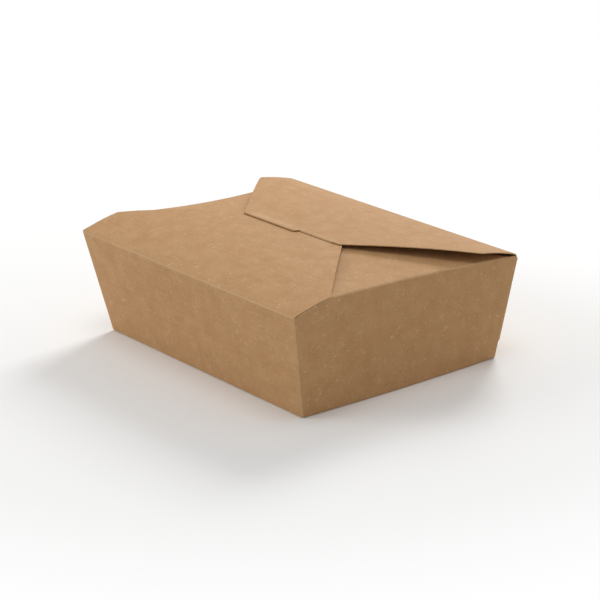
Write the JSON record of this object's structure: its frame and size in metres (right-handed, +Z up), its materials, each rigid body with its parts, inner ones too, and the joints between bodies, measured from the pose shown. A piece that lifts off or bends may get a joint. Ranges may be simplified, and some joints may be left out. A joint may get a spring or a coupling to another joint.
{
  "type": "kraft takeout box",
  "caption": "Flared kraft board takeout box folded from one sheet, shut by its own arched flaps, with a hinged top flap that locks by a tongue in a slit.",
  "frame": {"origin": "middle of the base's underside, on the surface that the box stands on", "axes": "+X along the long side, +Y from the front wall to the back wall that carries the top flap, +Z up"},
  "size_m": [0.195, 0.14, 0.065],
  "materials": {
    "kraft_board": "matt unbleached kraft board, with a thin clear film inside"
  },
  "bodies": {
    "carton": {"carton": "kraft_board"},
    "top_flap": {"top_flap": "kraft_board"}
  },
  "joints": [
    {"name": "top_flap_hinge", "type": "hinge", "parent": "carton", "child": "top_flap", "pos_m": [0, 0.0696, 0.05608], "axis": [-1, 0, 0], "range_deg": [0, 180]}
  ]
}
